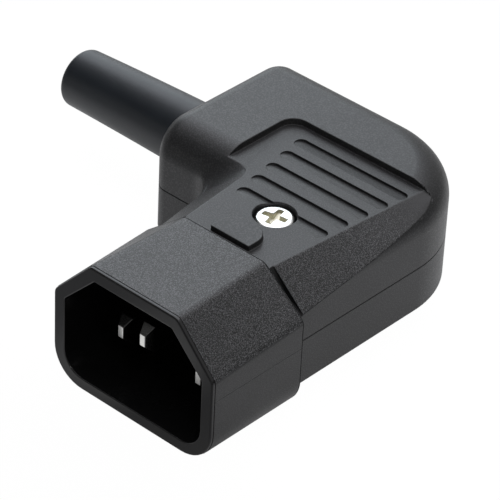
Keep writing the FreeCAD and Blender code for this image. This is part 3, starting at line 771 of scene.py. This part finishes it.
@dataclass
class Shroud:
    """The hollow six-sided moulding round the blades."""

    GRAINED, SIDES, SMOOTH, ROOF = range(4)

    finishes: Finishes
    half_width: float = 14.3
    rise: float = 10.65
    drop: float = 9.95
    length: float = 17.0
    front_chamfer: Span = (6.5, 6.8)
    rear_chamfer: Span = (7.2, 5.8)
    edge_round: float = 1.4
    bottom_round: float = 5.2
    cavity_half: float = 12.3
    cavity_rise: float = 8.6
    cavity_drop: float = 8.1
    cavity_chamfer: float = 5.4
    cavity_edge: float = 0.5
    cavity_start: float = 1.0
    cavity_depth: float = 15.6
    band: float = 0.55
    step: float = 0.08
    lip_round: float = 0.05
    rear_round: float = 0.25
    hold: float = 0.04
    rim_round: float = 0.26
    mouth_round: float = 0.2
    neck_overlap: float = 0.05
    sharp: float = 26.0
    arc_rows: int = 7
    sleeve_rows: int = 20
    cavity_rows: int = 8
    up_slope: float = 0.3
    flat_slope: float = 0.98
    wall_reach: float = 0.1

    def outer(self, y: float, inset: float = 0.0) -> Array:
        """The outer outline, whose chamfers change evenly from the front to the rear.

        Args:
            y: Depth behind the rim.
            inset: How far the outline moves inwards.

        Returns:
            Points (n, 2).
        """
        share = min(max((y - self.band) / (self.length - self.band), 0.0), 1.0)
        chamfer = np.array(self.front_chamfer) * (1 - share) + np.array(self.rear_chamfer) * share
        rounds = (self.edge_round, self.bottom_round)
        corners = six_corners(self.half_width, self.rise, self.drop, tuple(chamfer), rounds)
        return rounded_outline(inset_corners(corners, inset))

    def inner(self, inset: float = 0.0) -> Array:
        """The cavity's outline.

        Args:
            inset: How far the outline moves inwards.

        Returns:
            Points (n, 2).
        """
        chamfer = (self.cavity_chamfer, self.cavity_chamfer)
        rounds = (self.cavity_edge, self.bottom_round - self.drop + self.cavity_drop)
        corners = six_corners(self.cavity_half, self.cavity_rise, self.cavity_drop, chamfer, rounds)
        return rounded_outline(inset_corners(corners, inset))

    def build(self) -> None:
        """Carries the outline from the rear round the rim and into the cavity."""
        quarter = np.linspace(0, np.pi / 2, self.arc_rows)
        stations: list[tuple[float, Array]] = []
        for angle in quarter:
            y = self.length - self.rear_round * (1 - math.cos(angle))
            stations.append((y, self.outer(self.length, self.rear_round * (1 - math.sin(angle)))))
        front = self.band + self.lip_round
        rear = self.length - self.rear_round
        for y in (*np.linspace(rear - self.hold, front + self.hold, self.sleeve_rows), front):
            stations.append((y, self.outer(y)))
        for angle in quarter[1:]:
            y = self.band + self.lip_round * (1 - math.sin(angle))
            stations.append((y, self.outer(self.band, self.lip_round * (1 - math.cos(angle)))))
        stations.append((self.band, self.outer(self.band, self.step)))
        for angle in quarter:
            inset = self.step + self.rim_round * (1 - math.cos(angle))
            stations.append((self.rim_round * (1 - math.sin(angle)), self.outer(0.0, inset)))
        stations.append((0.0, self.outer(0.0, self.step + self.rim_round + self.hold)))
        stations.append((0.0, self.inner(-self.mouth_round - self.hold)))
        for angle in quarter:
            inset = -self.mouth_round * (1 - math.sin(angle))
            stations.append((self.mouth_round * (1 - math.cos(angle)), self.inner(inset)))
        for y in np.linspace(self.cavity_start, self.cavity_depth, self.cavity_rows):
            stations.append((y, self.inner()))
        rows = [np.column_stack([line[:, 0], np.full(len(line), y), line[:, 1]]) for y, line in stations]
        piece = grid_piece("shroud_moulding", np.array(rows), True, (True, True), self.sharp)
        self._add_neck(piece)
        looks = self.finishes
        dress(piece, Slot.SHELL, [looks.grained, looks.sides, looks.smooth, looks.roof], "shroud")
        paint(piece, self._finish_of)

    def _add_neck(self, piece: Object) -> None:
        """Adds the neck that the shells hold, the part of the solid behind the rear face.

        Args:
            piece: The shroud's piece.
        """
        work = merged_copy("shroud")
        spot = Vector((0.0, (self.length - self.neck_overlap) * MM, 0.0))
        parts = [*work.verts, *work.edges, *work.faces]
        cut = bmesh.ops.bisect_plane(work, geom=parts, plane_co=spot, plane_no=(0.0, 1.0, 0.0),
                                     clear_inner=True)
        rim = [part for part in cut["geom_cut"] if isinstance(part, bmesh.types.BMEdge)]
        bmesh.ops.triangle_fill(work, edges=rim, use_beauty=True, normal=(0.0, -1.0, 0.0))
        work.from_mesh(piece.data)
        work.to_mesh(piece.data)
        work.free()
        shade(piece.data, self.sharp)

    def _finish_of(self, centres: Array, normals: Array) -> Array:
        """Grain on the roof and its chamfers, a finer skin on the sides, a smooth rim and cavity.

        Args:
            centres: Of the faces, in millimetres.
            normals: Of the faces.

        Returns:
            Slot numbers.
        """
        x, y, z = centres.T
        upward = normals[:, 2] > self.up_slope
        grained = upward & (y > self.band)
        outside = (np.abs(x) > self.cavity_half) | (z < -self.cavity_drop)
        smooth = (y < self.band) | ~(grained | outside)
        inside = (np.abs(x) < self.cavity_half + self.wall_reach) & upward & (z < 0)
        tops = np.where(normals[:, 2] > self.flat_slope, self.ROOF, self.GRAINED)
        return np.where(smooth | inside, self.SMOOTH, np.where(grained, tops, self.SIDES))


@dataclass
class Shells:
    """Cover and base, closed round the shroud's neck."""

    SATIN, GRAINED, JOINT = range(3)

    finishes: Finishes
    edge: float = 0.12
    step_edge: float = 0.15
    parting_edge: float = 0.05
    groove_edge: float = 0.03
    groove_zone: tuple[float, float, float] = (10.2, 26.6, 43.2)
    groove_reach: float = 0.5
    recess_reach: float = 3.3
    screw_y: float = 26.7
    half_stem: float = 13.3
    panel_level: float = 9.9
    border_level: float = 10.9
    border_x: float = -13.8
    panel_round: float = 2.4
    facet_front: float = 17.1
    facet_rear: float = 45.45
    facet_start: Span = (5.5, 5.0)
    outer_end: Span = (3.25, 1.35)
    inner_end: Span = (2.4, 0.15)
    grain_end: float = 30.0
    joint_end: float = 17.87
    joint_margin: float = 0.05
    nearness: float = 0.03
    bend_nearness: float = 0.06
    overlap: float = 0.1
    least_rise: float = 0.03
    up_slope: float = 0.3

    def build(self) -> None:
        """Softens copies of both shells and gives the slanting facets their grain."""
        looks = self.finishes
        cover = softened_copy("cover", "cover_shell", self._widths)
        dress(cover, Slot.SHELL, [looks.satin, looks.grained, looks.painted_gap_shade], "cover")
        # The cover also gets painted shade, black, in its gap next to the shroud.
        paint(cover, self._finish_of)
        base = softened_copy("base", "base_shell", self._widths)
        dress(base, Slot.SHELL, [looks.satin], "base")

    def _widths(self, middles: Array) -> Array:
        """Wide along the border's step, narrow at the grooves and where cover and base meet.

        Args:
            middles: Middle points of the edges, in millimetres.

        Returns:
            Width of the bevel at each edge.
        """
        x, y, z = middles.T
        bend_x = self.border_x + self.panel_round
        bend_y = self.facet_rear - self.panel_round
        rear = (np.abs(y - self.facet_rear) < self.nearness) & (x > bend_x - self.overlap)
        side = (np.abs(x - self.border_x) < self.nearness) & (y < bend_y + self.overlap)
        off_bend = np.abs(np.hypot(x - bend_x, y - bend_y) - self.panel_round)
        bend = (off_bend < self.bend_nearness) & (z > self.panel_level)
        tall = (z - self.panel_level) / (self.border_level - self.panel_level)
        stepped = (rear | side | bend) & (tall > self.least_rise)
        reach_x, front, end = self.groove_zone
        on_panel = np.abs(z - self.panel_level) < self.groove_reach
        zone = (np.abs(x) < reach_x) & (y > front) & (y < end) & on_panel
        grooves = zone & (np.hypot(x, y - self.screw_y) > self.recess_reach)
        widths = np.where(stepped, self.step_edge, np.where(grooves, self.groove_edge, self.edge))
        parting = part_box("cover")[0][2] / MM
        return np.where(np.abs(z - parting) < self.nearness, self.parting_edge, widths)

    def _finish_of(self, centres: Array, normals: Array) -> Array:
        """Grain on the facets, and painted shade: matt black in the gap where the cover meets the shroud.

        A facet is, at each depth y, the slanting line from the panel's edge down to the side.

        Args:
            centres: Of the faces, in millimetres.
            normals: Of the faces.

        Returns:
            Slot numbers.
        """
        x, y, z = centres.T
        share = (y - self.facet_front) / (self.facet_rear - self.facet_front)
        outer = x > 0
        start = np.array(self.facet_start)
        end = np.where(outer[:, None], self.outer_end, self.inner_end)
        wide, tall = (start + (end - start) * share[:, None]).T
        line = self.panel_level - tall * (np.abs(x) - self.half_stem + wide) / wide
        along = (share > 0) & (share < 1) & (outer | (y < self.grain_end))
        slanting = (np.abs(x) > self.half_stem - wide) & (normals[:, 2] > self.up_slope)
        on_facet = along & slanting & (np.abs(z - line) < self.bend_nearness)
        within = np.abs(x) < self.half_stem - self.joint_margin
        # Painted shade on the faces in the gap behind the shroud.
        in_painted_gap_shade = (y < self.joint_end) & within & (z > 0)
        return np.where(in_painted_gap_shade, self.JOINT, np.where(on_facet, self.GRAINED, self.SATIN))


@dataclass
class Contacts:
    """The three plated blades."""

    finishes: Finishes
    edge: float = 0.1
    tip_slope: float = -0.9

    def build(self) -> None:
        """Softens a copy of each blade; the blades take painted shade and only the tips a painted highlight.
        """
        looks = self.finishes
        for word in ("live", "neutral", "earth"):
            piece = softened_copy(f"{word}_pin", f"{word}_blade", self._widths)
            dress(piece, Slot.PLATING, [looks.blade, looks.tip], f"{word}_pin")
            paint(piece, self._finish_of)

    def _widths(self, middles: Array) -> Array:
        """The same width at each edge.

        Args:
            middles: Middle points of the edges.

        Returns:
            Width of the bevel at each edge.
        """
        return np.full(len(middles), self.edge)

    def _finish_of(self, centres: Array, normals: Array) -> Array:
        """Painted highlight where a face looks out of the shroud; painted shade on the rest.

        Args:
            centres: Of the faces, in millimetres; not used.
            normals: Of the faces.

        Returns:
            Slot numbers.
        """
        return normals[:, 1] < self.tip_slope


@dataclass
class ClosingScrew:
    """The cross-recessed pan-head screw that holds the shells together."""

    finishes: Finishes
    x: float = 0.0
    y: float = 26.7
    seat: float = 7.7
    head_radius: float = 2.75
    head_height: float = 1.9
    skirt: float = 0.9
    seat_bevel: float = 0.05
    shank_radius: float = 1.5
    shank_length: float = 11.6
    shank_bevel: float = 0.3
    wing_half: float = 0.56
    wing_reach: float = 1.85
    wing_taper: float = 0.22
    recess_depth: float = 1.1
    end_rise: float = 0.55
    side_run: float = 0.1
    end_run: float = 0.14
    edge_round: float = 0.5
    edge_start: float = 0.1
    crown: float = 0.1
    turn: float = 12.0
    pole: float = 0.02
    columns: int = 192
    flat_rows: int = 70
    edge_rows: int = 10
    sharp: float = 40.0
    recess_margin: float = 0.1

    def build(self) -> None:
        """Turns the screw's profile about its axis."""
        angles = np.linspace(0, 2 * np.pi, self.columns, endpoint=False)
        foot = np.array([self.x, self.y, self.seat])
        points = np.concatenate([self._head(angles), self._below(angles)]) + foot
        piece = grid_piece("closing_screw", points, True, (True, True), self.sharp)
        dress(piece, Slot.STEEL, [self.finishes.nickel, self.finishes.worn], "housing_screw")
        paint(piece, self._finish_of)

    def _head(self, angles: Array) -> Array:
        """The head's top with the cross sunk into it.

        The height at radius r and angle t is the dome's height less a smooth step of the distance to the
        nearer wing of the cross, which gets shallower towards the wing's end.

        Args:
            angles: Round the axis.

        Returns:
            Points (rows, columns, 3) above the seat.
        """
        flat = self.head_radius - self.edge_round
        rounding = self.edge_round * np.sin(np.linspace(self.edge_start, np.pi / 2, self.edge_rows))
        radii = np.concatenate([np.linspace(self.pole, flat, self.flat_rows), flat + rounding])
        r, t = np.meshgrid(radii, angles, indexing="ij")
        edge = np.clip((r - flat) / self.edge_round, 0, 1)
        crown = self.crown * (r / self.head_radius) ** 2
        top = self.head_height - crown - self.edge_round * (1 - np.sqrt(1 - edge ** 2))
        across = t - math.radians(self.turn)
        u, v = np.abs(r * np.cos(across)), np.abs(r * np.sin(across))
        along, aside = np.maximum(u, v), np.minimum(u, v)
        half = self.wing_half * (1 - self.wing_taper * along / self.wing_reach)
        sides = np.clip((half - aside) / self.side_run, 0, 1)
        wall = sides * np.clip((self.wing_reach - along) / self.end_run, 0, 1)
        deep = self.recess_depth * (1 - self.end_rise * np.clip(along / self.wing_reach, 0, 1))
        z = top - deep * wall * wall * (3 - 2 * wall)
        return np.stack([r * np.cos(t), r * np.sin(t), z], -1)

    def _below(self, angles: Array) -> Array:
        """The head's skirt and underside, and the shank.

        Args:
            angles: Round the axis.

        Returns:
            Points (rows, columns, 3) from the skirt down.
        """
        profile = np.array([
            (self.head_radius, self.skirt),
            (self.head_radius, self.seat_bevel),
            (self.head_radius - self.seat_bevel, 0.0),
            (self.shank_radius, 0.0),
            (self.shank_radius, self.shank_bevel - self.shank_length),
            (self.shank_radius - self.shank_bevel, -self.shank_length),
        ])
        radius, height = profile[:, 0:1], profile[:, 1:2]
        level = np.broadcast_to(height, (len(profile), len(angles)))
        return np.stack([radius * np.cos(angles), radius * np.sin(angles), level], -1)

    def _finish_of(self, centres: Array, normals: Array) -> Array:
        """The cross is duller than the head round it.

        Args:
            centres: Of the faces, in millimetres.
            normals: Of the faces; not used.

        Returns:
            Slot numbers.
        """
        reach = np.hypot(centres[:, 0] - self.x, centres[:, 1] - self.y)
        sunk = centres[:, 2] < self.seat + self.head_height - self.recess_margin
        return (reach < self.wing_reach) & sunk


@dataclass
class CableBoot:
    """The soft sleeve that the cable leaves through."""

    finishes: Finishes
    wall_face: float = -26.0
    y: float = 43.2
    z: float = 0.7
    root_radius: float = 5.15
    tip_radius: float = 4.5
    bore_radius: float = 3.6
    length: float = 27.2
    tip_round: float = 0.85
    collar_radius: float = 6.5
    seat: float = 2.5
    collar: float = 2.0
    droop: float = 0.45
    sleeve_rows: int = 40
    tip_rows: int = 9
    bore_rows: int = 24
    columns: int = 96
    sharp: float = 40.0

    def build(self) -> None:
        """Carries a circle out over the collar and the taper and back down the bore.

        The boot sags by the droop times the square of the share of its length.
        """
        end = self.wall_face - self.length
        seat = self.wall_face + self.seat
        inner = seat + self.collar
        outside = np.linspace(self.wall_face, end + self.tip_round, self.sleeve_rows)
        taper = (self.wall_face - outside) / (self.length - self.tip_round)
        sleeve = self.root_radius + (self.tip_radius - self.root_radius) * taper
        quarter = np.linspace(0, np.pi / 2, self.tip_rows)
        tip_x = end + self.tip_round * (1 - np.sin(quarter))
        tip = self.tip_radius - self.tip_round + self.tip_round * np.cos(quarter)
        bore = np.linspace(end, inner, self.bore_rows)
        stations = np.concatenate([
            [(inner, self.bore_radius), (inner, self.collar_radius),
             (seat, self.collar_radius), (seat, self.root_radius)],
            np.column_stack([outside, sleeve]),
            np.column_stack([tip_x, tip]),
            np.column_stack([bore, np.full(self.bore_rows, self.bore_radius)]),
        ])
        angles = np.linspace(0, 2 * np.pi, self.columns, endpoint=False)
        x = np.repeat(stations[:, 0:1], self.columns, 1)
        radius = stations[:, 1:2]
        sag = self.droop * np.clip((self.wall_face - x) / self.length, 0, 1) ** 2
        points = np.stack([
            x,
            self.y + radius * np.cos(angles),
            self.z - sag + radius * np.sin(angles),
        ], -1)
        piece = grid_piece("cable_boot", points, True, (False, False), self.sharp)
        dress(piece, Slot.BOOT, [self.finishes.vinyl], "boot")


@dataclass
class InnerHardware:
    """Terminals, nut and cord grip, which the shells hide."""

    finishes: Finishes
    steel_nodes: tuple[str, ...] = (
        "live_screw", "neutral_screw", "earth_screw", "live_washer", "neutral_washer", "earth_washer",
        "housing_nut", "front_grip_screw", "rear_grip_screw")
    plastic_nodes: tuple[str, ...] = ("cord_grip",)

    def build(self) -> None:
        """Gives each hidden solid its finish."""
        looks = self.finishes
        for names, material in ((self.steel_nodes, looks.steel), (self.plastic_nodes, looks.satin)):
            for name in names:
                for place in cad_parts[name].material_slots:
                    place.material = material
                LOG.info("%s: %s", name, material.name)


@dataclass(frozen=True)
class PhotoCamera:
    """The camera, where the photograph was taken from. Its angles are in degrees."""

    azimuth: float = 41.25
    elevation: float = 35.06
    roll: float = 2.8
    eye: Spot = (214.37, -222.36, 234.58)
    lens: float = 217.1
    sensor: float = 36.0
    clip_start: float = 0.01

    def build(self) -> None:
        """Stands the camera."""
        a, e, roll = (math.radians(angle) for angle in (self.azimuth, self.elevation, self.roll))
        back = Vector((math.sin(a) * math.cos(e), -math.cos(a) * math.cos(e), math.sin(e)))
        right = Vector((math.cos(a), math.sin(a), 0.0))
        up = back.cross(right)
        across = right * math.cos(roll) + up * math.sin(roll)
        above = up * math.cos(roll) - right * math.sin(roll)
        data = bpy.data.cameras.new("camera")
        data.lens = self.lens
        data.sensor_width = self.sensor
        data.clip_start = self.clip_start
        camera = link("camera", data)
        turned = Matrix((across, above, back)).transposed().to_4x4()
        camera.matrix_world = Matrix.Translation(Vector(self.eye) * MM) @ turned
        bpy.context.scene.camera = camera


@dataclass(frozen=True)
class Lamp:
    """A square soft lamp that faces the plug. Place, side and aim are in metres, power is in watts."""

    name: str
    place: Spot
    side: float
    power: float
    colour: Tint = (1.0, 1.0, 1.0)
    aim: Spot = (0.0, 0.03, 0.0)

    def build(self) -> None:
        """Hangs the lamp."""
        data = bpy.data.lights.new(self.name, "AREA")
        data.shape = "SQUARE"
        data.size = self.side
        data.energy = self.power
        data.color = self.colour
        lamp = link(self.name, data)
        lamp.location = self.place
        towards = Vector(self.aim) - Vector(self.place)
        lamp.rotation_euler = towards.to_track_quat("-Z", "Y").to_euler()


@dataclass(frozen=True)
class Sky:
    """The world: pale round the horizon, dark above it in front, pale overhead, and white to the camera."""

    right_way: Spot = (0.75, 0.66, 0.0)
    right_band: Span = (-0.2, 0.9)
    rear_way: Spot = (-0.54, 0.84, 0.0)
    rear_band: Span = (0.4, 0.9)
    rear_gain: float = 0.6
    horizon_band: Span = (0.1, 0.3)
    horizon_level: float = 0.6
    right_shade: float = 0.75
    wall_band: Span = (0.15, 0.5)
    wall_level: float = 0.5
    zenith_band: Span = (0.58, 0.86)
    zenith_level: float = 0.45
    least: float = 0.02

    def build(self) -> None:
        """Makes the world.

        Its level is the sum of the horizon, which is darker to the right and brighter at the rear left, a
        wall of light above it on the right, the zenith, and the least level.
        """
        world = bpy.data.worlds.new("studio")
        world.use_nodes = True
        bpy.context.scene.world = world
        graph = Graph(world.node_tree)
        direction = graph.add("ShaderNodeTexCoord", output="Generated")
        height = graph.add("ShaderNodeSeparateXYZ", {}, {0: direction}, "Z")
        right = graph.dot(direction, self.right_way).band(*self.right_band)
        rear = graph.dot(direction, self.rear_way).band(*self.rear_band)
        low = (1.0 - height.band(*self.horizon_band)) * (1.0 - right * self.right_shade)
        horizon = low * (rear * self.rear_gain + self.horizon_level)
        wall = right * height.band(*self.wall_band) * self.wall_level
        zenith = height.band(*self.zenith_band) * self.zenith_level
        level = horizon + wall + zenith + self.least
        strength = level + graph.ray("Camera") * (1.0 - level)
        shader = graph.add("ShaderNodeBackground", {}, {"Color": grey(1.0), "Strength": strength})
        graph.add("ShaderNodeOutputWorld", {}, {"Surface": shader})


@dataclass(frozen=True)
class Floor:
    """A wide white floor. The camera sees it nearly all as glow, which leaves a trace of the plug's shadow.

    Its colour is pale in a painted pool of light round the plug, with painted shade towards the front.
    Reflections see the pool as a glow, and painted patches of light: a card in front and a sweep behind.
    """

    level: float = -9.95
    half: float = 6000.0
    painted_pool: Span = (-8.0, 34.0)
    pool_band: Span = (30.0, 150.0)
    front_band: Span = (-12.0, 16.0)
    front_level: float = 0.24
    pool_mirror: float = 0.35
    painted_card: Span = (-9.0, -10.0)
    card_band: Span = (4.0, 13.0)
    card_mirror: float = 0.6
    painted_sweep: Span = (-60.0, 140.0)
    sweep_band: Span = (50.0, 130.0)
    sweep_mirror: float = 0.5
    camera_share: float = 0.97
    dark: float = 0.15
    pale: float = 0.85
    glow: float = 1.02

    def build(self) -> None:
        """Lays the floor."""
        ends = (-self.half, self.half)
        corners = np.array([[(x, y, self.level) for x in ends] for y in ends])
        floor = grid_piece("floor", corners, False, (False, False))
        made = new_material("white_floor")
        graph = Graph(made.node_tree)
        front = graph.coordinate("Y").band(self.front_band[0] * MM, self.front_band[1] * MM)
        # Painted shade: the pool is darker towards the front.
        painted_front_shade = front * (1.0 - self.front_level) + self.front_level
        painted_pool = self._patch(graph, self.painted_pool, self.pool_band) * painted_front_shade
        painted_card = self._patch(graph, self.painted_card, self.card_band) * self.card_mirror
        painted_sweep = self._patch(graph, self.painted_sweep, self.sweep_band) * self.sweep_mirror
        # Painted reflections: glowing patches that only reflections see.
        painted_reflection = painted_pool * self.pool_mirror + painted_card + painted_sweep
        reflected = graph.ray("Glossy") + graph.ray("Transmission")
        seen = graph.ray("Camera") * self.camera_share + reflected * painted_reflection
        colour = graph.mix(painted_pool, grey(self.dark), grey(self.pale))
        matt = graph.add("ShaderNodeBsdfDiffuse", {}, {"Color": colour})
        glow = graph.add("ShaderNodeEmission", {}, {"Color": grey(1.0), "Strength": self.glow})
        graph.surface(graph.add("ShaderNodeMixShader", {}, {0: seen, 1: matt, 2: glow}))
        floor.data.materials.append(made)

    def _patch(self, graph: Graph, middle: Span, band: Span) -> Value:
        """A soft round patch of painted light on the floor.

        Args:
            graph: The floor's graph.
            middle: Its middle (x, y) in millimetres.
            band: Distances in millimetres between which it runs out.

        Returns:
            1 in the patch, 0 away from it.
        """
        return 1.0 - graph.distance((*middle, self.level)).band(band[0] * MM, band[1] * MM)


@dataclass(frozen=True)
class Studio:
    """Camera, world, floor and lamps."""

    camera: PhotoCamera = PhotoCamera()
    sky: Sky = Sky()
    floor: Floor = Floor()
    lamps: tuple[Lamp, ...] = (
        Lamp("overhead", place=(-0.12, 0.22, 0.62), side=0.7, power=2.4, colour=(0.98, 0.98, 1.06)),
        Lamp("rear_left", place=(-0.35, 0.315, 0.225), side=0.32, power=0.67, colour=(0.92, 1.0, 1.06)),
        Lamp("front_right", place=(0.24, -0.16, 0.36), side=0.05, power=0.1),
    )

    def build(self) -> None:
        """Sets up the shot."""
        for item in (self.camera, self.sky, self.floor, *self.lamps):
            item.build()
        bpy.context.scene.view_settings.view_transform = "Standard"


def main() -> None:
    """Builds the plug and its studio."""
    logging.basicConfig(level=logging.INFO, format="%(name)s: %(message)s")
    finishes = Finishes()
    for kind in (Shroud, Shells, Contacts, ClosingScrew, CableBoot, InnerHardware):
        kind(finishes).build()
    Studio().build()
    bpy.context.view_layer.update()


if __name__ == "__main__":
    main()
